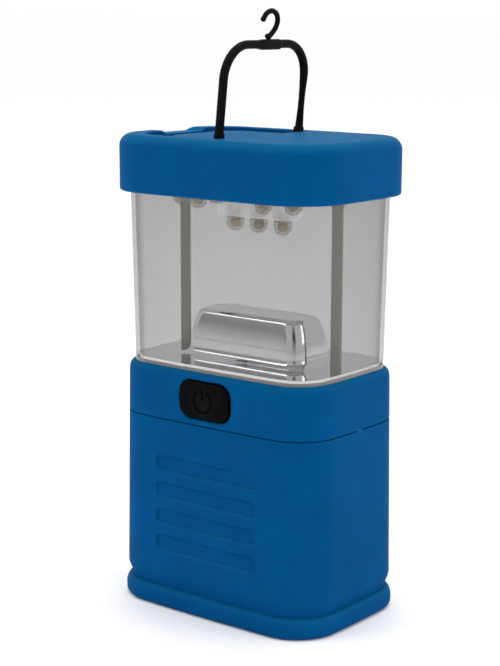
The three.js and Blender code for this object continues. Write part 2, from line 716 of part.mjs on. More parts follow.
/** The hanging hook, upright over the middle of the bail's top bar, which is the origin here. */
function hangingHook() {
  const wire = 0.75;
  const saddleRadius = bail.radius + 0.2;
  const path = new THREE.CatmullRomCurve3([
    [0.2, 2.1], [1.4, 2.9], [2.9, 4.5], [3.5, 6.3], [2.8, 8.1],
    [0.7, 9], [-1.5, 8.4], [-2.9, 6.8],
  ].map(([y, z]) => new THREE.Vector3(0, y, z)));
  const stem = turned([
    [0, hookHead.top - hookHead.thickness],
    [hookHead.radius, hookHead.top - hookHead.thickness],
    [hookHead.radius, hookHead.top],
    [hookPin, hookHead.top],
    [hookPin, saddleRadius],
    [0.95, saddleRadius + gap],
    [1.05, saddleRadius + 0.8],
    [0.7, saddleRadius + 1.2],
    [0, saddleRadius + 1.2],
  ], 0, 0, 12);
  const tip = solid(new THREE.SphereGeometry(wire + 0.1, 8, 5).translate(0, -2.9, 6.8));
  return joined(rod(path, wire, 18, 8), stem, tip);
}

// --------------------------------------------------------------------- assembly

const group = new THREE.Group();

group.add(
  piece("bottom_cover", bluePlastic, bottomCover()),
  piece("lower_housing", bluePlastic, lowerHousing()),
  piece("upper_housing", bluePlastic, upperHousing()),
  piece("battery_cage", blackPlastic, batteryCage()),
  piece("switch_body", blackPlastic, switchBody()),
  piece("switch_board", boardGreen, switchBoard()),
  piece("reflector", chrome, reflector()),
  piece("lens", clearPlastic, lensTube()),
  piece("led_carrier", whitePlastic, ledCarrier()),
  piece("led_board", boardGreen, ledBoard()),
  piece("top_cap", bluePlastic, topCap()),
);

cellPlaces.forEach(([x, y], i) => {
  const positiveUp = i % 2 === 0;
  group.add(piece(`aa_cell_${i + 1}`, cellWrap, aaCell(x, y, positiveUp)));
  const contact = positiveUp ? nubContact(x, y) : contactSpring(x, y);
  const kind = positiveUp ? "nub_contact" : "contact_spring";
  group.add(piece(`${kind}_${i + 1}`, nickel, contact));
});

ringPlaces.forEach((place, i) => group.add(piece(`led_ring_${i + 1}`, ledEpoxy, ledBulb(place, ringTipZ))));
centrePlaces.forEach((place, i) => group.add(piece(`led_centre_${i + 1}`, ledEpoxy, ledBulb(place, centreTipZ))));
quarters.forEach(([x, y], i) => {
  group.add(piece(`base_screw_${i + 1}`, steel, baseScrewShape(x * screwX, y * screwY)));
});

for (const [side, word] of [[-1, "left"], [1, "right"]]) {
  group.add(piece(`conductor_strip_${word}`, nickel, conductorStrip(side)));
  group.add(piece(`lead_wire_${word}`, redWire, leadWire(side)));
}

for (const [side, word] of [[-1, "front"], [1, "rear"]]) {
  group.add(piece(`carrier_screw_${word}`, steel, carrierScrewShape(side)));
}

// Moves with the battery door, which swings down about a hinge along Y.
const doorGroup = new THREE.Group();
doorGroup.add(
  piece("battery_door", bluePlastic, batteryDoor()),
  piece("door_contact_left", nickel, doorContact(-1)),
  piece("door_contact_right", nickel, doorContact(1)),
);

// Slides into the housing when pressed.
const buttonGroup = new THREE.Group();
buttonGroup.add(
  piece("switch_button", blackPlastic, switchButton()),
  piece("switch_plunger", whitePlastic, switchPlunger()),
);

// The bail leans a little past upright on its stop, and the hook turns in its top bar.
const bailGroup = new THREE.Group();
bailGroup.position.z = bail.pivotZ;
bailGroup.rotation.y = THREE.MathUtils.degToRad(bail.lean);
const hook = piece("hook", blackPlastic, hangingHook());
hook.position.z = bail.rise;
bailGroup.add(piece("bail_handle", blackPlastic, bailHandle()), hook);

group.add(doorGroup, buttonGroup, bailGroup);

export default group;
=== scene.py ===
"""Camping lantern: every piece that shows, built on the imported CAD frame.

Shapes are worked out in millimetres and scaled to metres when a mesh is made.
"""
import json
import math
from collections import namedtuple

import bmesh
import bpy
from mathutils import Matrix, Vector


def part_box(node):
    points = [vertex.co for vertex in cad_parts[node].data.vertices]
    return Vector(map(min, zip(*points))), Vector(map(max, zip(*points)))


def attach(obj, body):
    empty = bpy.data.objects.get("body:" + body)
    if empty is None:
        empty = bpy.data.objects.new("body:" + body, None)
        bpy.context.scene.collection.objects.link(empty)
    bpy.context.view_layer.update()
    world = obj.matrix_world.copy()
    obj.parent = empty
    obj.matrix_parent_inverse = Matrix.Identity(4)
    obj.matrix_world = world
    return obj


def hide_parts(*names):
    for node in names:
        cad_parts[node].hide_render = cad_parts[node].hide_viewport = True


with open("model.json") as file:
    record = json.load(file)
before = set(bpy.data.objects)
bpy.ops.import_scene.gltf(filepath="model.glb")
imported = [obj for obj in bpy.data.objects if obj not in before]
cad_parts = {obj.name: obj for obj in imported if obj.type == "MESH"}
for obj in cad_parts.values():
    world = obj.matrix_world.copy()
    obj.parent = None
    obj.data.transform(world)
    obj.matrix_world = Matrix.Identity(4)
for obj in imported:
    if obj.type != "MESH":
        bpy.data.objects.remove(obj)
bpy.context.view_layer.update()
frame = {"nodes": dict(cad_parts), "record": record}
MM = 0.001

Box = namedtuple("Box", "low high")


def box_mm(node):
    """A CAD node's box at rest, in millimetres."""
    low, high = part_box(node)
    return Box(Vector(low) / MM, Vector(high) / MM)


def middle(box):
    """A box's middle, seen from above."""
    return (box.low.x + box.high.x) / 2, (box.low.y + box.high.y) / 2


# --------------------------------------------------------------- dimensions

GAP = 0.3
WALL = 2.0
CAP_OVERHANG = 2.2
BOW = 0.8
FLARE_PER_SIDE = 1.1

cap_box = box_mm("top_cap")
upper_box = box_mm("upper_housing")
lens_box = box_mm("lens")
button_box = box_mm("switch_button")
carrier_box = box_mm("led_carrier")

Outline = namedtuple("Outline", "width depth corner bow", defaults=[0.0])
body = Outline(
    2 * (cap_box.high.x - CAP_OVERHANG - BOW),
    2 * (cap_box.high.y - CAP_OVERHANG - BOW),
    11.2,
    BOW,
)
body_front = body.depth / 2 + BOW
body_side = body.width / 2 + BOW
LENS_GRIP = 1.3
LENS_INSET = {"low": 1.8, "high": 0.8}
LENS_WALL = 1.2
groove_z = box_mm("lower_housing").low.z - GAP / 2
seam_z = upper_box.low.z - GAP / 2
shoulder_z = upper_box.high.z
cap_z = lens_box.high.z - LENS_GRIP
cap_top_z = cap_box.high.z


def flare(z):
    """How far the housings widen at height z."""
    return FLARE_PER_SIDE * (1 - z / shoulder_z)


# ---------------------------------------------------------------- materials

def node(tree, kind, **inputs):
    """A shader node with its inputs set. A value may be another node's output."""
    made = tree.nodes.new(kind)
    for name, value in inputs.items():
        socket = made.inputs[name.replace("_", " ")]
        if isinstance(value, bpy.types.NodeSocket):
            tree.links.new(value, socket)
        else:
            socket.default_value = value
    return made


def noise(tree, scale, detail=3.0, stretch=(1, 1, 1)):
    """Noise in the object's own space, with scale in cells per metre."""
    place = tree.nodes.new("ShaderNodeTexCoord").outputs["Object"]
    mapping = node(tree, "ShaderNodeMapping", Vector=place, Scale=stretch)
    return node(tree, "ShaderNodeTexNoise", Vector=mapping.outputs[0], Scale=scale, Detail=detail).outputs[0]


def spread(tree, value, low, high, from_low=0.3, from_high=0.7):
    """A noise value carried to the range low..high."""
    ranged = node(tree, "ShaderNodeMapRange", Value=value)
    for name, number in zip(("From Min", "From Max", "To Min", "To Max"), (from_low, from_high, low, high)):
        ranged.inputs[name].default_value = number
    return ranged.outputs[0]


def blend_colors(tree, factor, first, second):
    """A colour from first to second by a factor. Each may be a value or another node's output."""
    mix = tree.nodes.new("ShaderNodeMix")
    mix.data_type = "RGBA"
    for socket, value in zip((mix.inputs[0], mix.inputs[6], mix.inputs[7]), (factor, first, second)):
        if isinstance(value, bpy.types.NodeSocket):
            tree.links.new(value, socket)
        else:
            socket.default_value = value
    return mix.outputs[2]


def shaded(color, amount):
    """A colour made lighter or darker by a factor, with full alpha."""
    return (*(min(channel * amount, 1) for channel in color), 1)


def surface(name, color, roughness, *, metallic=0.0, specular=0.5, coat=0.0, mottle=0.08, edge_wear_and_highlight=None,
            painted_top_light=None, grain=1400, grain_detail=2.0, grain_depth=0.02, uneven=0.06, stretch=(1, 1, 1)):
    """A material with cloudy colour, uneven gloss and fine relief. Its edges may be lighter, partly from
    wear and partly as a painted highlight, and faces that turn upwards may be lightened with painted light
    from above."""
    made = bpy.data.materials.new(name)
    made.use_nodes = True
    tree = made.node_tree
    shader = tree.nodes["Principled BSDF"]
    cloud = spread(tree, noise(tree, 70, 4, stretch), 0, 1)
    tint = blend_colors(tree, cloud, shaded(color, 1 - mottle), shaded(color, 1 + mottle))
    geometry = tree.nodes.new("ShaderNodeNewGeometry")
    # Painted light: faces that turn upwards are lightened towards a given colour, as if lit from above.
    if painted_top_light:
        upward = node(tree, "ShaderNodeSeparateXYZ", Vector=geometry.outputs["Normal"]).outputs["Z"]
        tint = blend_colors(tree, spread(tree, upward, 0, 0.8, 0.25, 0.95), tint, (*painted_top_light, 1))
    # Edges are lightened, partly as wear and partly as a painted highlight.
    if edge_wear_and_highlight:
        edges = spread(tree, geometry.outputs["Pointiness"], 0, 0.7, 0.51, 0.6)
        rubbed_and_highlit = node(tree, "ShaderNodeMath", Value=edges)
        rubbed_and_highlit.operation = "MULTIPLY"
        tree.links.new(noise(tree, 500), rubbed_and_highlit.inputs[1])
        tint = blend_colors(tree, rubbed_and_highlit.outputs[0], tint, (*edge_wear_and_highlight, 1))
    tree.links.new(tint, shader.inputs["Base Color"])
    gloss = spread(tree, noise(tree, 260, 3, stretch), roughness - uneven / 2, roughness + uneven)
    tree.links.new(gloss, shader.inputs["Roughness"])
    relief = node(tree, "ShaderNodeBump", Strength=0.6, Distance=grain_depth * MM,
                  Height=noise(tree, grain, grain_detail, stretch))
    tree.links.new(relief.outputs[0], shader.inputs["Normal"])
    shader.inputs["Metallic"].default_value = metallic
    shader.inputs["Specular IOR Level"].default_value = specular
    shader.inputs["Coat Weight"].default_value = coat
    return made


def see_through(name, color, facing_alpha, edge_alpha, roughness, specular=0.5, painted_glow=0.0):
    """Clear plastic: the surface shows more where it turns away, and carries faint handling marks."""
    made = surface(name, color, roughness, specular=specular, mottle=0.04, grain=180, grain_depth=0.01,
                   uneven=0.03)
    tree = made.node_tree
    facing = node(tree, "ShaderNodeLayerWeight", Blend=0.35).outputs["Facing"]
    edge = spread(tree, facing, facing_alpha, edge_alpha, 0.25, 0.92)
    shader = tree.nodes["Principled BSDF"]
    tree.links.new(edge, shader.inputs["Alpha"])
    shader.inputs["Emission Color"].default_value = (*color, 1)
    shader.inputs["Emission Strength"].default_value = painted_glow  # painted glow: the plastic gives off light though it is no lamp
    return made


# The blue's edge colour is partly wear and partly a painted highlight; its second colour is painted light on
# faces that turn upwards.
blue = surface("blue_plastic", (0.0, 0.066, 0.207), 0.55, specular=0.015, edge_wear_and_highlight=(0.002, 0.13, 0.31),
               painted_top_light=(0.003, 0.098, 0.22))
black = surface("black_plastic", (0.0018, 0.002, 0.0024), 0.42, specular=0.02, edge_wear_and_highlight=(0.012, 0.012, 0.013))
black_wire = surface("black_bail_plastic", (0.0038, 0.0038, 0.0038), 0.5, specular=0.04,
                     edge_wear_and_highlight=(0.01, 0.01, 0.01))
white = surface("white_plastic", (0.72, 0.72, 0.70), 0.35, edge_wear_and_highlight=(0.8, 0.8, 0.78))
green = surface("circuit_board", (0.03, 0.16, 0.06), 0.35, mottle=0.2, grain=900, grain_depth=0.05)
wrap = surface("cell_wrap", (0.05, 0.055, 0.06), 0.28, mottle=0.15, coat=0.4)
red = surface("red_wire", (0.42, 0.02, 0.015), 0.35)
steel = surface("steel", (0.55, 0.55, 0.55), 0.3, metallic=1, edge_wear_and_highlight=(0.75, 0.75, 0.75))
brushed = surface("nickel_strip", (0.33, 0.325, 0.265), 0.42, metallic=0.75, mottle=0.1, grain=2600,
                  grain_depth=0.03, stretch=(1, 1, 0.03))
nickel = surface("nickel", (0.5, 0.49, 0.46), 0.32, metallic=1)
chrome = surface("chrome_plating", (0.9, 0.905, 0.915), 0.06, metallic=1, mottle=0.02, grain=60,
                 grain_detail=0.0, grain_depth=0.05, uneven=0.02)
lead_frame = surface("lead_frame", (0.62, 0.6, 0.55), 0.22, metallic=1)
phosphor = surface("phosphor", (0.72, 0.58, 0.38), 0.3, mottle=0.4)
clear = see_through("clear_plastic", (0.07, 0.068, 0.066), 0.25, 0.72, 0.08)
rim = see_through("lens_rim", (0.38, 0.365, 0.33), 0.38, 0.9, 0.3)
# The island carries a painted glow.
frosted = see_through("clear_island", (0.86, 0.86, 0.86), 0.6, 0.95, 0.2, painted_glow=0.3)
epoxy = see_through("led_epoxy", (0.36, 0.33, 0.26), 0.26, 0.9, 0.04, specular=1.0)

finishes = {
    "black_plastic": black,
    "white_plastic": white,
    "circuit_board": green,
    "cell_wrap": wrap,
    "red_wire": red,
    "steel": steel,
    "nickel": nickel,
    "blue_plastic": blue,
    "chrome_plating": chrome,
    "led_epoxy": epoxy,
    "clear_plastic": clear,
}
for part in frame["record"]["subparts"]:
    mesh = frame["nodes"][part["node"]].data
    mesh.materials.clear()
    mesh.materials.append(finishes[part["material_slot"]])


# ------------------------------------------------------------------ meshes

def skin(name, rings, closed=False):
    """A mesh over rings of equally many points, capped at both ends unless the last ring joins the first."""
    count = len(rings[0])
    faces = []
    for row in range(len(rings) if closed else len(rings) - 1):
        here, there = row * count, (row + 1) % len(rings) * count
        for i in range(count):
            j = (i + 1) % count
            faces.append((here + i, here + j, there + j, there + i))
    if not closed:
        last = (len(rings) - 1) * count
        faces += [tuple(reversed(range(count))), tuple(range(last, last + count))]
    mesh = bpy.data.meshes.new(name)
    mesh.from_pydata([Vector(point) * MM for points in rings for point in points], [], faces)
    obj = bpy.data.objects.new(name, mesh)
    bpy.context.scene.collection.objects.link(obj)
    return obj


CORNERS = ((1, -1, -90), (1, 1, 0), (-1, 1, 90), (-1, -1, 180))  # x side, y side, first angle
CORNER_STEPS = 14
EVEN = [i / 12 for i in range(1, 12)]


def ring(outline, outset, long_stops=EVEN, short_stops=EVEN):
    """Points round an outline, grown outwards by outset, with points at the stops along its sides."""
    half_width = outline.width / 2 + outset
    half_depth = outline.depth / 2 + outset
    radius = outline.corner + outset
    arcs = []
    for side_x, side_y, start in CORNERS:
        angles = [math.radians(start + 90 * i / CORNER_STEPS) for i in range(CORNER_STEPS + 1)]
        middle_x = side_x * (half_width - radius)
        middle_y = side_y * (half_depth - radius)
        arcs.append([(middle_x + radius * math.cos(a), middle_y + radius * math.sin(a)) for a in angles])
    points = []
    for i, arc_points in enumerate(arcs):
        points += arc_points
        (x0, y0), (x1, y1) = arc_points[-1], arcs[(i + 1) % 4][0]
        stops = long_stops if i % 2 else short_stops
        points += [(x0 + (x1 - x0) * t, y0 + (y1 - y0) * t) for t in stops]
    bowed = []
    for x, y in points:
        u, v = x / half_width, y / half_depth
        bowed.append((
            x + outline.bow * u * abs(u) * (1 - v * v),
            y + outline.bow * v * abs(v) * (1 - u * u),
        ))
    return bowed


def sweep(name, outline, rows, closed=False, **stops):
    """Rings round an outline, one for each (outset, z) row, skinned."""
    return skin(name, [[(x, y, z) for x, y in ring(outline, outset, **stops)] for outset, z in rows], closed)


def arc(outset, z, across, up, start, end, steps=7):
    """Rows on an elliptic arc round (outset, z), between two angles in degrees."""
    angles = [math.radians(start + (end - start) * i / steps) for i in range(steps + 1)]
    return [(outset + across * math.cos(a), z + up * math.sin(a)) for a in angles]


def turned(name, rows, x=0.0, y=0.0, segments=32):
    """A solid of revolution about a vertical line, from (radius, z) rows."""
    turns = [2 * math.pi * i / segments for i in range(segments)]
    return skin(name, [[(x + r * math.cos(a), y + r * math.sin(a), z) for a in turns] for r, z in rows])


def tube(name, points, radii, sides=20, flatten=1.0):
    """A rod along points in the YZ plane, with a radius at each. flatten thins it within that plane."""
    points = [Vector((0, y, z)) for y, z in points]
    rings = []
    for i, point in enumerate(points):
        along = (points[min(i + 1, len(points) - 1)] - points[max(i - 1, 0)]).normalized()
        across = along.cross(Vector((1, 0, 0)))
        turns = [2 * math.pi * k / sides for k in range(sides)]
        rings.append([
            point + radii[i] * (math.cos(a) * Vector((1, 0, 0)) + flatten * math.sin(a) * across)
            for a in turns
        ])
    return skin(name, rings)


def smooth_path(points, steps=10):
    """Points along a Catmull-Rom curve through the given points."""
    ends = [points[0], *points, points[-1]]
    path = []
    for a, b, c, d in zip(ends, ends[1:], ends[2:], ends[3:]):
        for i in range(steps):
            t = i / steps
            path.append(tuple(
                0.5 * (2 * q + (r - p) * t + (2 * p - 5 * q + 4 * r - s) * t * t
                       + (3 * q - p - 3 * r + s) * t ** 3)
                for p, q, r, s in zip(a, b, c, d)
            ))
    return [*path, points[-1]]


def moved(obj, *matrices):
    """The object's mesh moved by matrices in millimetres, the last one first."""
    for matrix in reversed(matrices):
        scaled = matrix.copy()
        scaled.translation *= MM
        obj.data.transform(scaled)
    return obj


def facing_front(obj, y, z):
    """Turns a swept shape's Z towards the front and puts its base at y, z."""
    return moved(obj, Matrix.Translation((0, y, z)), Matrix.Rotation(math.radians(90), 4, "X"))


def merged(first, *others):
    """The first object with the others' meshes and materials added."""
    whole = bmesh.new()
    materials = []
    for obj in (first, *others):
        start = len(whole.faces)
        whole.from_mesh(obj.data)
        whole.faces.ensure_lookup_table()
        for face in whole.faces[start:]:
            face.material_index += len(materials)
        materials += list(obj.data.materials)
    first.data.materials.clear()
    for made in materials:
        first.data.materials.append(made)
    whole.to_mesh(first.data)  # last, because clear() sets every face back to the first material
    whole.free()
    for obj in others:
        bpy.data.objects.remove(obj)
    return first


def carve(obj, *cutters):
    """Cuts the cutters out of obj and removes them."""
    tidy_normals(obj)
    for cutter in cutters:
        tidy_normals(cutter)
        modifier = obj.modifiers.new("carve", "BOOLEAN")
        modifier.operation = "DIFFERENCE"
        modifier.solver = "EXACT"
        modifier.object = cutter
    result = bpy.data.meshes.new_from_object(obj.evaluated_get(bpy.context.evaluated_depsgraph_get()))
    obj.modifiers.clear()
    obj.data = result
    whole = bmesh.new()
    whole.from_mesh(result)
    bmesh.ops.triangulate(whole, faces=[face for face in whole.faces if len(face.verts) > 4])
    whole.to_mesh(result)
    whole.free()
    for cutter in cutters:
        bpy.data.objects.remove(cutter)
    return obj


def tidy_normals(obj):
    """Turns every face of a closed mesh outwards."""
    whole = bmesh.new()
    whole.from_mesh(obj.data)
    bmesh.ops.recalc_face_normals(whole, faces=whole.faces)
    whole.to_mesh(obj.data)
    whole.free()


def coated(obj, material):
    """The object with this one material."""
    obj.data.materials.clear()
    obj.data.materials.append(material)
    return obj


def piece(obj, body_name, slot, *nodes, sharp=38):
    """Smooths a finished piece, keeps its true edges, and puts it on its body in place of CAD nodes."""
    whole = bmesh.new()
    whole.from_mesh(obj.data)
    bmesh.ops.recalc_face_normals(whole, faces=whole.faces)
    for face in whole.faces:
        face.smooth = True
    for edge in whole.edges:
        edge.smooth = len(edge.link_faces) != 2 or edge.calc_face_angle(0) < math.radians(sharp)
    whole.to_mesh(obj.data)
    whole.free()
    weighted = obj.modifiers.new("even_shading", "WEIGHTED_NORMAL")
    weighted.keep_sharp = True
    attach(obj, body_name)
    if nodes:
        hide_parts(*nodes)
    return obj


def slab(name, outline, low, high, edge=0.3):
    """A plate with rounded edges."""
    return sweep(name, outline, [
        *arc(-edge, low + edge, edge, edge, -90, 0, 3),
        *arc(-edge, high - edge, edge, edge, 0, 90, 3),
    ])


def block(name, low, high, edge=0.2):
    """A small box with rounded corners and edges."""
    low, high = Vector(low), Vector(high)
    size = high - low
    made = slab(name, Outline(size.x, size.y, edge + 0.15), low.z, high.z, edge)
    return moved(made, Matrix.Translation(((low.x + high.x) / 2, (low.y + high.y) / 2, 0)))


QUARTERS = ((-1, -1), (1, -1), (1, 1), (-1, 1))


# -------------------------------------------------------------------- base

FLOOR = {"low": 1.0, "high": 2.8}
FOOT_INSET = 6.0
SPIGOT = {"inset": WALL + GAP, "wall": 1.2, "top": 9.5}
GROOVE_DEPTH = 1.4
FOOT_BULGE = 0.5
FOOT_WIDEST_Z = 2.0
FOOT_ROUND = 1.9
CHAMFER_TOP_Z = 10.2

widest = flare(0) + FOOT_BULGE
groove_floor = flare(groove_z) - GROOVE_DEPTH
MEET = 0.02  # half the hairline left between two pieces that are pressed together
foot_top = groove_z - MEET
foot = sweep("foot", body, [
    (-FOOT_INSET - 0.6, FLOOR["low"]),
    (-FOOT_INSET - 0.1, 0.1),
    (-FOOT_INSET + 0.1, 0),
    *arc(widest - FOOT_ROUND, FOOT_WIDEST_Z, FOOT_ROUND, FOOT_WIDEST_Z, -90, 0, 10),
    *arc(groove_floor, FOOT_WIDEST_Z + 1, widest - groove_floor, foot_top - FOOT_WIDEST_Z - 1, 0, 90, 10),
    (-SPIGOT["inset"], foot_top),
    (-SPIGOT["inset"], SPIGOT["top"]),
    (-SPIGOT["inset"] - SPIGOT["wall"], SPIGOT["top"]),
    (-SPIGOT["inset"] - SPIGOT["wall"], FLOOR["high"]),
])
door_box = box_mm("battery_door")
screw_boxes = [box_mm(f"base_screw_{i}") for i in range(1, 5)]
DOOR = Outline(40, 33, 3)
door_hole = sweep("door_hole", DOOR, [
    (GAP + 0.5, FLOOR["low"] - 1),
    (GAP + 0.2, FLOOR["low"] + 0.3),
    (GAP, 2),
    (GAP, 5),
])
BARREL = {"radius": 0.9, "half_length": 15.5, "edge": 0.25}
hinge_x = door_box.low.x + BARREL["radius"]
hinge_z = (FLOOR["low"] + FLOOR["high"]) / 2
slot_end = BARREL["half_length"] + GAP
hinge_hole = block("hinge_hole", (door_box.low.x - GAP, -slot_end, 0), (door_box.low.x + 3, slot_end, 5))
SCREW_HOLE = [(3.1, -0.5), (2.7, 0.3), (2.7, 1.7), (1.65, 1.7), (1.65, 12)]  # round the head, then the shaft
screw_holes = [turned("screw_hole", SCREW_HOLE, *middle(screw)) for screw in screw_boxes]
carve(foot, door_hole, hinge_hole, *screw_holes)
piece(coated(foot, blue), "lantern", "blue_plastic", "bottom_cover")

# The door, with its finger recess and the barrel that it swings on.
door_leaf = slab("door_leaf", DOOR, FLOOR["low"] + 0.2, FLOOR["low"] + 1.7, 0.35)
finger = slab("finger", Outline(3.4, 12.4, 1.6), FLOOR["low"] - 1, FLOOR["low"] + 0.9, 0.5)
moved(finger, Matrix.Translation((DOOR.width / 2 - 3.5, 0, 0)))
carve(door_leaf, finger)
radius, end, edge = BARREL["radius"], BARREL["half_length"], BARREL["edge"]
barrel_rows = [(radius - edge, -end), (radius, edge - end), (radius, end - edge), (radius - edge, end)]
barrel = facing_front(turned("door_barrel", barrel_rows), 0, 0)
moved(barrel, Matrix.Translation((hinge_x, 0, hinge_z)))
arms = [
    block("door_arm", (hinge_x, y - 2, hinge_z - 0.6), (hinge_x + 3, y + 2, hinge_z + 0.6))
    for y in (-10, 10)
]
piece(coated(merged(door_leaf, barrel, *arms), blue), "door", "blue_plastic", "battery_door")

for i, screw in enumerate(screw_boxes, 1):
    x, y = middle(screw)
    head = turned(f"base_screw_shape_{i}", [
        (2.0, screw.low.z), (2.3, screw.low.z + 0.15), (2.4, screw.low.z + 0.4), (2.4, 1.4), (1.35, 1.4),
        (1.35, screw.high.z - 1), (0.3, screw.high.z),
    ], x, y)
    slots = [
        block("slot", (x - a, y - b, screw.low.z - 1), (x + a, y + b, screw.low.z + 0.55), 0.1)
        for a, b in ((1.5, 0.3), (0.3, 1.5))
    ]
    piece(coated(carve(head, *slots), steel), "lantern", "steel", f"base_screw_{i}")


# ---------------------------------------------------------- lower housing

GRIP = {
    "count": 4,
    "pitch": 7.85,
    "top_z": 43,
    "half_width": 18.1,
    "half_height": 2.45,
    "corner": 1.5,
    "depth": 0.75,
}
GRIP_RAMP = 0.7  # how far a recess's edge runs before it reaches its floor


def grip_depth(x, z):
    """How deep the recesses are at a point of the front or back."""
    deepest = 0.0
    for i in range(GRIP["count"]):
        over_x = abs(x) - GRIP["half_width"] + GRIP["corner"]
        over_z = abs(z - GRIP["top_z"] + i * GRIP["pitch"]) - GRIP["half_height"] + GRIP["corner"]
        outside = math.hypot(max(over_x, 0), max(over_z, 0)) + min(max(over_x, over_z), 0) - GRIP["corner"]
        t = min(max((0.15 - outside) / GRIP_RAMP, 0), 1)
        deepest = max(deepest, GRIP["depth"] * t * t * (3 - 2 * t))
    return deepest


def side_stops():
    """Places along the front and back, close together where the recesses end."""
    half = body.width / 2 - body.corner
    fine = [15.6 + 0.18 * i for i in range(18)]
    coarse = [1.9 * i for i in range(9)]
    after = [19.6, 20.8, 22.2]
    right = [x for x in coarse + fine + after if x < half]
    xs = sorted({-x for x in right} | set(right))
    return [(x + half) / (2 * half) for x in xs]


def grip_rows():
    """Heights up the housing, close together over the recesses."""
    low = GRIP["top_z"] - (GRIP["count"] - 1) * GRIP["pitch"] - GRIP["half_height"] - 0.4
    high = GRIP["top_z"] + GRIP["half_height"] + 0.4
    fine = [low + (high - low) * i / 110 for i in range(111)]
    below = [CHAMFER_TOP_Z + (low - CHAMFER_TOP_Z) * i / 4 for i in range(4)]
    above = [high + (seam_z - 0.6 - high) * i / 4 for i in range(1, 5)]
    return below + fine + above


def groove_side():
    """From the floor of the groove out to the housing's face, hollow first and then rounded."""
    low, high = groove_z + MEET, CHAMFER_TOP_Z
    made = []
    for i in range(15):
        t = i / 15
        made.append((groove_floor + (flare(high) - groove_floor) * (0.35 * t + 1.95 * t * t - 1.3 * t ** 3),
                     low + (high - low) * t))
    return made


lower_top = seam_z - GAP / 2
EDGE = 0.3
SEAM_DEPTH = 0.5  # from the face to the tongue behind the seam
tongue_inner = WALL + GAP + 1.2
rows = [
    *groove_side(),
    *[(flare(z), z) for z in grip_rows()],
    *arc(flare(lower_top) - EDGE, lower_top - EDGE, EDGE, EDGE, 0, 90, 4),
    (-SEAM_DEPTH, lower_top),
    (-SEAM_DEPTH, seam_z + 0.7),
    (-tongue_inner, seam_z + 0.7),
    (-tongue_inner, seam_z - 3),
    (-WALL, seam_z - 5),
    (-WALL, groove_z + MEET),
]
lower = sweep("lower_housing_shell", body, rows, closed=True, long_stops=side_stops())
for vertex in lower.data.vertices:
    x, y, z = vertex.co / MM
    if abs(y) > body.depth / 2 - 0.5 and abs(x) < body.width / 2 - body.corner:
        vertex.co.y -= math.copysign(grip_depth(x, z) * MM, y)
LATCH = {"width": 2.9, "low": seam_z - 0.7, "high": seam_z + 0.7}
latches = []
for side in (-1, 1):
    xs = sorted((side * (body_side - 0.9), side * (body_side + flare(seam_z) - 0.03)))
    latches.append(block(
        "latch", (xs[0], -LATCH["width"] / 2, LATCH["low"]), (xs[1], LATCH["width"] / 2, LATCH["high"]), 0.1,
    ))
piece(coated(merged(lower, *latches), blue), "lantern", "blue_plastic", "lower_housing")


# ---------------------------------------------------------- upper housing

SHOULDER_ROUND = 2.7
POCKET_OUTER = LENS_INSET["low"] - MEET
POCKET_INNER = LENS_INSET["low"] + LENS_WALL + 2 * MEET
pocket_z = shoulder_z - LENS_GRIP - GAP
upper_bottom = seam_z + GAP / 2
SIDE_HEIGHTS = (59, 62, 65)
lip = math.degrees(math.acos((SHOULDER_ROUND - POCKET_OUTER) / SHOULDER_ROUND))
upper = sweep("upper_housing_shell", body, [
    (-WALL, upper_bottom + 0.8),
    (-SEAM_DEPTH - MEET, upper_bottom + 0.8),
    (-SEAM_DEPTH - MEET, upper_bottom),
    *arc(flare(upper_bottom) - EDGE, upper_bottom + EDGE, EDGE, EDGE, -90, 0, 4),
    *[(flare(z), z) for z in SIDE_HEIGHTS],
    *arc(-SHOULDER_ROUND, shoulder_z - SHOULDER_ROUND, SHOULDER_ROUND, SHOULDER_ROUND, 0, lip, 12),
    (-POCKET_OUTER, pocket_z),
    (-POCKET_INNER, pocket_z),
    (-POCKET_INNER, shoulder_z),
    (-POCKET_INNER - 1.4, shoulder_z),
    (-POCKET_INNER - 1.4, pocket_z - 1.2),
    (-WALL, pocket_z - 1.2),
], closed=True)

button_size = button_box.high - button_box.low
button_z = (button_box.high.z + button_box.low.z) / 2
BUTTON_CORNER = 3.7
face_y = -body_front - flare(button_z)
opening_outline = Outline(button_size.x + 0.7, button_size.z + 0.7, BUTTON_CORNER + 0.35)
opening = facing_front(sweep("button_opening", opening_outline, [
    (0, -6),
    (0, -0.45),
    (0.04, -0.25),
    (0.15, -0.1),
    (0.35, 0.02),
    (0.9, 0.12),
    (0.9, 2),
]), face_y, button_z)
carve(upper, opening)
strip_boxes = {word: box_mm(f"conductor_strip_{word}") for word in ("left", "right")}


def strip_slots(low, high):
    """Cutters that let both conductor strips through a plate."""
    slots = []
    for strip in strip_boxes.values():
        start = (strip.low.x - GAP, strip.low.y - GAP, low)
        slots.append(block("strip_slot", start, (strip.high.x + GAP, strip.high.y + GAP, high)))
    return slots


deck_outset = -POCKET_INNER - 0.7
deck = sweep("deck", body, [(deck_outset, shoulder_z - 1.4), (deck_outset, shoulder_z - 0.02)])
carve(deck, *strip_slots(shoulder_z - 3, shoulder_z + 1))
piece(coated(merged(upper, deck), blue), "lantern", "blue_plastic", "upper_housing")


# ------------------------------------------------------------------ button

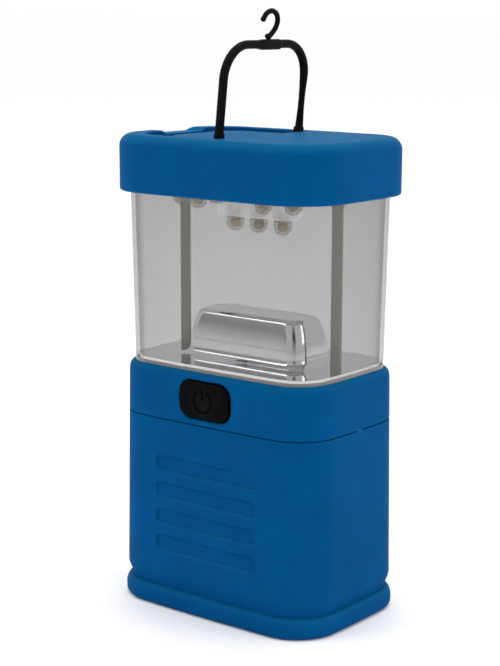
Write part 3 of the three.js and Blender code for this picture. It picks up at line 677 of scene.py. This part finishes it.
BUTTON_EDGE = 0.9
button_depth = button_size.y
button_outline = Outline(button_size.x, button_size.z, BUTTON_CORNER)
keycap = sweep("button_keycap", button_outline, [
    (-0.3, -button_depth),
    (0, -button_depth + 0.3),
    (0, -BUTTON_EDGE),
    *arc(-BUTTON_EDGE, -BUTTON_EDGE, BUTTON_EDGE, BUTTON_EDGE, 0, 82, 8)[1:],
    (-BUTTON_EDGE - 1.2, -0.01),
    (-BUTTON_EDGE - 2.4, 0),
])
SYMBOL = {"radius": 3.1, "line": 0.42, "break": 0.6, "bar": (0.3, 3.6)}
turn_steps = 40
around = [
    math.pi / 2 + SYMBOL["break"] + (2 * math.pi - 2 * SYMBOL["break"]) * i / turn_steps
    for i in range(turn_steps + 1)
]
groove_points = [(SYMBOL["radius"] * math.cos(a), SYMBOL["radius"] * math.sin(a)) for a in around]


def groove(name, points):
    """A cutter for a round-bottomed line drawn on the button's face."""
    made = tube(name, points, [SYMBOL["line"]] * len(points), sides=12)
    moved(made, Matrix.Rotation(math.radians(90), 4, "Z"))
    return moved(made, Matrix.Translation((0, button_box.low.y, button_z)))


carve(
    facing_front(keycap, button_box.low.y, button_z),
    groove("symbol_ring", groove_points),
    groove("symbol_bar", [(0, SYMBOL["bar"][0]), (0, SYMBOL["bar"][1])]),
)
piece(coated(keycap, black), "button", "black_plastic", "switch_button")


# ------------------------------------------------------- lens and reflector

lens_low, lens_high = lens_box.low.z, lens_box.high.z


def lens_inset(z):
    """How far the lens stands in from the body's outline at height z."""
    share = (z - lens_low) / (lens_high - lens_low)
    return LENS_INSET["low"] + (LENS_INSET["high"] - LENS_INSET["low"]) * share


RIM_TOP_Z = shoulder_z + 0.9  # the lens has a frosted foot up to here
heights = [lens_low] + [RIM_TOP_Z + (lens_high - RIM_TOP_Z) * i / 12 for i in range(13)]
lens = sweep("lens_wall", body, [
    *[(-lens_inset(z), z) for z in heights],
    *[(-lens_inset(z) - LENS_WALL, z) for z in reversed(heights)],
], closed=True)
coated(lens, clear).data.materials.append(rim)
for polygon in lens.data.polygons:
    polygon.material_index = int(polygon.center.z < RIM_TOP_Z * MM)
piece(lens, "lantern", "clear_plastic", "lens")

TRAY = {"inset": POCKET_INNER, "thickness": 0.9}
reflector_box = box_mm("reflector")
tray_low = reflector_box.low.z
tray_top = tray_low + TRAY["thickness"]
hat_top = reflector_box.high.z
HAT = Outline(40.9, 17.3, 4.6)  # at its foot
HAT_FLARE = 2.6
HAT_CROWN = 1.7
HAT_ROUND = {"radius": 2.0, "from": 20}


def hat_rings():
    """From the tray up the hat's flared foot and its crowned side to its round top edge."""
    radius, slant = HAT_ROUND["radius"], math.radians(HAT_ROUND["from"])
    flare_top = tray_top + HAT_FLARE
    round_out = -HAT_CROWN - radius * math.cos(slant)
    round_start = hat_top - radius * (1 - math.sin(slant))
    side = [(-HAT_CROWN * t * t, flare_top + (round_start - flare_top) * t) for t in EVEN]
    rows = [
        *arc(HAT_FLARE, flare_top, HAT_FLARE, HAT_FLARE, 270, 180, 12),
        *side,
        *arc(round_out, hat_top - radius, radius, radius, HAT_ROUND["from"], 86, 12),
        (round_out - 0.4, hat_top),
    ]
    rings = []
    for outset, z in rows:
        outline = Outline(HAT.width + 2 * outset, HAT.depth + 2 * outset, HAT.corner)
        rings.append([(x, y, z) for x, y in ring(outline, 0)])
    return rings


def tray_ring(inset, z):
    """A ring of the tray, set in from the body's outline."""
    return [(x, y, z) for x, y in ring(body, -inset)]


tray_edge = TRAY["inset"] - 0.2  # the tray nearly meets the lens
reflector = skin("reflector_shell", [
    tray_ring(tray_edge + 0.3, tray_low),
    tray_ring(tray_edge, tray_low + 0.2),
    tray_ring(tray_edge, tray_top + 0.03),
    tray_ring(tray_edge + 0.3, tray_top + 0.01),
    tray_ring(tray_edge + 0.8, tray_top - 0.01),
    tray_ring(tray_edge + 1.6, tray_top - 0.02),
    *hat_rings(),
])
carve(reflector, *strip_slots(tray_low - 1, tray_top + 1))
piece(coated(reflector, chrome), "lantern", "chrome_plating", "reflector", sharp=50)

for word, strip in strip_boxes.items():
    made = block(f"strip_{word}", strip.low, strip.high, 0.12)
    piece(coated(made, brushed), "lantern", "nickel", f"conductor_strip_{word}")


# --------------------------------------------------------------------- LEDs

ISLAND = Outline(28, 9.4, 4.6)
CARRIER_INSET = 3.1
SHEET = 1.5
island_z = carrier_box.low.z
carrier_top = carrier_box.high.z
sheet = sweep("carrier_sheet", body, [
    (-CARRIER_INSET - 0.3, carrier_top - SHEET),
    (-CARRIER_INSET, carrier_top - SHEET + 0.3),
    (-CARRIER_INSET, carrier_top - 0.3),
    (-CARRIER_INSET - 0.3, carrier_top),
])
carve(sheet, *strip_slots(carrier_top - 3, carrier_top + 1))
leds = {name: box_mm(name) for name in frame["nodes"] if name.startswith(("led_ring", "led_centre"))}

COLLAR = ((2.8, 0.5), (3.5, 0.2), (3.3, -0.1), (2.8, -0.2))  # radius, and height from the sheet's underside
collar_rows = [(r, carrier_top - SHEET + up) for r, up in COLLAR]
ring_led_boxes = [box for name, box in leds.items() if name.startswith("led_ring")]
collars = [turned("collar", collar_rows, *middle(box)) for box in ring_led_boxes]
piece(coated(merged(sheet, *collars), white), "lantern", "white_plastic", "led_carrier")
island = sweep("carrier_island", ISLAND, [
    *arc(-1.1, island_z + 0.9, 0.9, 0.9, -90, 0, 5),
    (0, carrier_top - SHEET - 0.1),
])
piece(coated(island, frosted), "lantern", "white_plastic")

LED = {"radius": 2.5, "flange": 2.9, "length": 8.6, "leg_x": 1.27, "leg_half": 0.25}


def led(name, box):
    """A clear 5 mm LED that points down: epoxy body, reflector cup with its die, and two legs."""
    x, y = middle(box)
    tip = box.low.z
    back = tip + LED["length"]
    dome = [(r, z) for r, z in arc(0, tip + LED["radius"], LED["radius"], LED["radius"], -87, 0, 10)]
    shell = turned(f"{name}_epoxy", [
        *dome,
        (LED["radius"], back - 1),
        (LED["flange"] - 0.1, back - 1),
        (LED["flange"], back - 0.85),
        (LED["flange"], back - 0.15),
        (LED["flange"] - 0.2, back),
    ], x, y)
    cup_rows = [(0.6, tip + 4.4), (2.0, tip + 3.7), (2.05, tip + 3.9), (1.3, tip + 5.6), (0.5, tip + 5.8)]
    cup = turned("cup", cup_rows, x, y, 20)
    die = turned("die", arc(0, tip + 2.4, 1.7, 1.4, -84, 84, 8), x, y, 20)
    half = LED["leg_half"]
    legs = []
    for leg_x in (x - LED["leg_x"], x + LED["leg_x"]):
        top = (leg_x + half, y + half, box.high.z)
        legs.append(block("leg", (leg_x - half, y - half, tip + 4.4), top, 0.06))
    parts = [coated(shell, epoxy), coated(cup, lead_frame), coated(die, phosphor)]
    return merged(*parts, *[coated(leg, lead_frame) for leg in legs])


for name, box in leds.items():
    piece(led(name, box), "lantern", "led_epoxy", name)


# ---------------------------------------------------------------------- cap

CAP_ROUND = 3.5
CAP_EDGE = 0.8
handle_lean = math.radians(6)
joints = {joint["name"]: joint for joint in frame["record"]["behaviour"]["joints"]}
pivot_z = joints["bail_pivot"]["pos_m"][2] / MM
BAIL = {"half_span": 18.0, "rise": 27.1, "corner": 9.2, "radius": 1.25, "eye": 1.8}
channel_floor = pivot_z - BAIL["eye"] - GAP
CHANNEL = {"half_width": 20.0, "front": 2.2, "reach": 30.5, "corner": 11.0}
CAP_ISLAND = {"half_width": 15.3, "reach": 23.0, "corner": 7.5}
island_top = cap_top_z - 0.6
cavity_z = channel_floor - 1.7
cap_lip = LENS_INSET["high"] - GAP
pocket_top = cap_z + LENS_GRIP + GAP
cavity_inset = LENS_INSET["high"] + LENS_WALL + 0.8

cap = sweep("cap_shell", body, [
    (-cavity_inset, cavity_z),
    (-cavity_inset, pocket_top),
    (-cap_lip, pocket_top),
    (-cap_lip, cap_z + 0.2),
    (-cap_lip + 0.2, cap_z),
    *arc(CAP_OVERHANG - CAP_EDGE, cap_z + CAP_EDGE, CAP_EDGE, CAP_EDGE, -90, 0, 7),
    *arc(CAP_OVERHANG - CAP_ROUND, cap_top_z - CAP_ROUND, CAP_ROUND, CAP_ROUND, 0, 84, 14),
    (CAP_OVERHANG - CAP_ROUND - 0.6, cap_top_z - 0.01),
    (CAP_OVERHANG - CAP_ROUND - 3, cap_top_z),
])


def tongue(name, shape, front, rows):
    """Rows swept round a rounded rectangle that spans x from -reach to front."""
    outline = Outline(front + shape["reach"], 2 * shape["half_width"], shape["corner"])
    return moved(sweep(name, outline, rows), Matrix.Translation(((front - shape["reach"]) / 2, 0, 0)))


MOUTH = 0.45  # rounding of the channel's rim
channel_end = CHANNEL["front"] + CHANNEL["corner"]
trench = tongue("trench", CHANNEL, channel_end, [
    (-0.3, channel_floor),
    (0, channel_floor + 0.3),
    *[(MOUTH + a, cap_top_z - MOUTH + b) for a, b in arc(0, 0, MOUTH, MOUTH, 180, 90, 6)],
    (MOUTH + 0.2, cap_top_z + 1),
])
plateau = tongue("plateau", CAP_ISLAND, channel_end + CAP_ISLAND["corner"], [
    (0.25, channel_floor - 1),
    (0.2, channel_floor),
    *arc(-0.7, island_top - 0.7, 0.7, 0.7, 0, 90, 6),
])
beyond = block("beyond", (CHANNEL["front"], -40, channel_floor - 3), (60, 40, cap_top_z + 5), 0.5)
carve(trench, beyond, plateau)

NOTCH = {"middle": 3.3, "half_width": 7.6, "run": 2.0, "floor": cap_top_z - 1.1}


def rim_height(y):
    """The rim's height along the side that the folded bail lies over."""
    t = min(max((abs(y - NOTCH["middle"]) - NOTCH["half_width"]) / NOTCH["run"], 0), 1)
    return NOTCH["floor"] + (cap_top_z - NOTCH["floor"] + 0.02) * t * t * (3 - 2 * t)


across_notch = [NOTCH["middle"] - 10 + 0.4 * i for i in range(51)]
outer_x, inner_x = -(body_side + CAP_OVERHANG + 1), -(CHANNEL["reach"] - 3)
notch = skin("rim_notch", [
    [(x, y, rim_height(y)) for y in across_notch] + [(x, y, cap_top_z + 2) for y in reversed(across_notch)]
    for x in (outer_x, inner_x)
])
carve(cap, trench, notch)
piece(coated(cap, blue), "lantern", "blue_plastic", "top_cap", sharp=32)


# ------------------------------------------------------------ bail and hook

def upright():
    """Where the bail and hook stand: leaning over the pivot."""
    return Matrix.Translation((0, 0, pivot_z)) @ Matrix.Rotation(handle_lean, 4, "Y")


def bail_path():
    """The bail's centre line from foot to foot, upright, with its pivot at the origin."""
    half, rise, corner = BAIL["half_span"], BAIL["rise"], BAIL["corner"]
    leg = [rise - corner - 2.3 * i for i in range(7, 0, -1)]
    front = [(-half, 0.0)] + [(-half, z) for z in leg]
    for i in range(13):
        angle = math.pi - math.pi / 2 * i / 12
        front.append((-half + corner + corner * math.cos(angle), rise - corner + corner * math.sin(angle)))
    bar = [(-half + corner + (half - corner) * i / 6, rise) for i in range(1, 6)]
    left = front + bar
    return left + [(0.0, rise)] + [(-y, z) for y, z in reversed(left)]


def bail_radius(y, z):
    """The rear leg is slimmer halfway up than at its foot and in the bend."""
    radius = BAIL["radius"]
    if y < BAIL["half_span"] - 1:
        return radius
    low = min(max((z - 1) / 9, 0), 1)
    high = min(max((z - 12) / 8, 0), 1)
    slim = low * low * (3 - 2 * low) * (1 - high * high * (3 - 2 * high))
    return radius * (1 - 0.26 * slim)


path = bail_path()
bail = tube("bail_loop", path, [bail_radius(y, z) for y, z in path], sides=24, flatten=0.94)
fittings = []
for side in (-1, 1):
    inner, outer = BAIL["half_span"] - BAIL["radius"] - 1, BAIL["half_span"] + BAIL["radius"]
    eye = turned("eye", [(BAIL["eye"] - 0.3, inner), (BAIL["eye"], inner + 0.3), (BAIL["eye"], outer - 0.3),
                         (BAIL["eye"] - 0.3, outer)])
    pin = turned("pin", [(0.9, BAIL["half_span"]), (0.9, 21.6), (0.7, 21.8)])
    turn = Matrix.Rotation(math.radians(-90 * side), 4, "X")
    fittings += [moved(eye, turn), moved(pin, turn)]
    boss_y = sorted((side * (BAIL["half_span"] - 1.3), side * (BAIL["half_span"] + 1.1)))
    fittings.append(block("boss", (-1.15, boss_y[0], 0), (1.15, boss_y[1], cap_top_z - pivot_z + 1.3), 0.25))
saddle_radius = BAIL["radius"] + 0.2
saddle_rows = [
    (BAIL["radius"] - 0.1, -4.6),
    (saddle_radius, -2.5),
    (saddle_radius, 4.7),
    (saddle_radius - 0.15, 5.2),
    (BAIL["radius"] - 0.2, 5.5),
]
saddle = moved(
    turned("saddle", saddle_rows),
    Matrix.Translation((0, 0, BAIL["rise"] - 0.1)), Matrix.Rotation(math.radians(-90), 4, "X"),
)
moved(merged(bail, *fittings, saddle), upright())
piece(coated(bail, black_wire), "bail", "black_plastic", "bail_handle")

HOOK_WIRE = 0.72
hook_path = smooth_path([
    (0.2, 2.1), (1.4, 2.9), (2.9, 4.5), (3.5, 6.3), (2.8, 8.1), (0.7, 9.0), (-1.5, 8.4), (-2.9, 6.8),
])
hook_radii = [HOOK_WIRE] * len(hook_path)
hook = tube("hook_wire", hook_path, hook_radii, sides=18)
tip_y, tip_z = hook_path[-1]
tip = turned("hook_tip", [(r, z) for r, z in arc(0, 0, HOOK_WIRE + 0.06, HOOK_WIRE + 0.06, -86, 86, 12)])
moved(tip, Matrix.Translation((0, tip_y, tip_z)))
head_z = -1.15  # the head is sunk in the underside of the bar
stem = turned("hook_stem", [
    (0.7, head_z - 0.3),
    (0.9, head_z - 0.22),
    (0.95, head_z - 0.05),
    (0.9, head_z),
    (0.6, head_z),
    (0.6, saddle_radius),
    (0.8, saddle_radius + 0.15),
    (0.98, saddle_radius + 0.45),
    (1.05, saddle_radius + 0.8),
    (0.9, saddle_radius + 1.15),
    (0.4, saddle_radius + 1.4),
])
moved(merged(hook, tip, stem), upright() @ Matrix.Translation((0, 0, BAIL["rise"])))
piece(coated(hook, black_wire), "hook", "black_plastic", "hook")


# -------------------------------------------------------------------- cells

for i in range(1, 5):
    cell = box_mm(f"aa_cell_{i}")
    x, y = middle(cell)
    low, high = cell.low.z, cell.high.z
    crimp = [(6.4, 0.0), (6.9, 0.15), (7.1, 0.6)]
    wrap_rows = [(r, low + z) for r, z in crimp] + [(7.1, high - 1.9), (6.9, high - 1.4), (6.2, high - 1.25)]
    jacket = turned(f"cell_{i}", wrap_rows, x, y, 48)
    can = turned("can", [(6.3, low + 0.02), (6.35, low + 0.3), (6.3, high - 1.22), (2.8, high - 1.2),
                         (2.7, high - 0.2), (2.3, high)], x, y, 40)
    made = merged(coated(jacket, wrap), coated(can, nickel))
    if i % 2 == 0:
        flip = Matrix.Translation((0, 0, low + high)) @ Matrix.Scale(-1, 4, (0, 0, 1))
        moved(made, flip)
    piece(made, "lantern", "cell_wrap", f"aa_cell_{i}")


# ------------------------------------------------------------------- studio

def stage_plane(name, corners, material):
    """A flat surface of the studio, which isn't part of the lantern."""
    mesh = bpy.data.meshes.new(name)
    mesh.from_pydata(corners, [], [tuple(range(len(corners)))])
    obj = bpy.data.objects.new(name, mesh)
    bpy.context.scene.collection.objects.link(obj)
    coated(obj, material)
    return obj


FLOOR_REACH = 30.0
floor_paint = surface("floor", (0.99, 0.99, 0.99), 0.7, specular=0.05, mottle=0.003, grain_depth=0.0)
stage_plane("floor", [(x * FLOOR_REACH, y * FLOOR_REACH, 0) for x, y in QUARTERS], floor_paint)

CAMERA = {"azimuth": 38.11, "elevation": 12.12, "roll": 0.231, "distance": 0.4744, "aim": (0, 0, 0.070)}
azimuth, elevation = math.radians(CAMERA["azimuth"]), math.radians(CAMERA["elevation"])
away = Vector((
    math.sin(azimuth) * math.cos(elevation),
    -math.cos(azimuth) * math.cos(elevation),
    math.sin(elevation),
))
camera_data = bpy.data.cameras.new("camera")
camera = bpy.data.objects.new("camera", camera_data)
bpy.context.scene.collection.objects.link(camera)
level = away.to_track_quat("Z", "Y").to_matrix().to_4x4()
camera.matrix_world = (
    Matrix.Translation(Vector(CAMERA["aim"]) + away * CAMERA["distance"])
    @ level
    @ Matrix.Rotation(math.radians(CAMERA["roll"]), 4, "Z")
)
camera_data.lens = 89.37
camera_data.sensor_width = 36
camera_data.shift_x = -0.0125
camera_data.shift_y = 0.0464
camera_data.clip_end = 100
bpy.context.scene.camera = camera

world = bpy.data.worlds.new("studio")
world.use_nodes = True
world.node_tree.nodes["Background"].inputs["Color"].default_value = (1, 1, 1, 1)
world.node_tree.nodes["Background"].inputs["Strength"].default_value = 1.0
bpy.context.scene.world = world


def area_light(name, place, size, power, aim=(0, 0, 0.08)):
    """A soft light that faces the lantern."""
    light = bpy.data.lights.new(name, "AREA")
    light.shape = "RECTANGLE"
    light.size, light.size_y = size
    light.energy = power
    obj = bpy.data.objects.new(name, light)
    obj.location = place
    obj.rotation_euler = (Vector(place) - Vector(aim)).to_track_quat("Z", "Y").to_euler()
    obj.visible_camera = False
    bpy.context.scene.collection.objects.link(obj)


area_light("overhead", (0.0, 0.1, 1.1), (0.5, 0.5), 3.8)
area_light("front_left", (-0.55, -0.62, 0.86), (0.42, 0.3), 2.2)
area_light("right", (1.1, 0.35, 0.6), (0.5, 0.7), 2.4)


def card_paint(name, shade, low, high):
    """Matt paint that is darkest halfway up a card and runs out to white at its top and bottom."""
    made = surface(name, (1, 1, 1), 0.9, specular=0.0, mottle=0.0, grain_depth=0.0)
    tree = made.node_tree
    place = tree.nodes.new("ShaderNodeTexCoord").outputs["Object"]
    height = node(tree, "ShaderNodeSeparateXYZ", Vector=place)
    from_middle = node(tree, "ShaderNodeMath", Value=spread(tree, height.outputs["Z"], -1, 1, low, high))
    from_middle.operation = "ABSOLUTE"
    share = spread(tree, from_middle.outputs[0], 0, 1, 0.1, 1)
    color = blend_colors(tree, share, (shade, shade, shade, 1), (1, 1, 1, 1))
    tree.links.new(color, tree.nodes["Principled BSDF"].inputs["Base Color"])
    return made


def dark_card(name, azimuth, distance, width, low, high, shade):
    """An upright card out of the camera's sight that darkens what the shiny parts mirror."""
    angle = math.radians(azimuth)
    centre = Vector((math.sin(angle), -math.cos(angle), 0)) * distance
    across = Vector((math.cos(angle), math.sin(angle), 0)) * width / 2
    corners = [(p.x, p.y, z) for p, z in (
        (centre - across, low), (centre + across, low), (centre + across, high), (centre - across, high),
    )]
    stage_plane(name, corners, card_paint(name, shade, low, high)).visible_camera = False


dark_card("dark_card_front", CAMERA["azimuth"], 1.1, 0.42, -0.2, 1.5, 0.0)
dark_card("dark_card_left", -40, 1.2, 1.0, 0.02, 0.85, 0.38)

bpy.context.scene.view_settings.view_transform = "Standard"
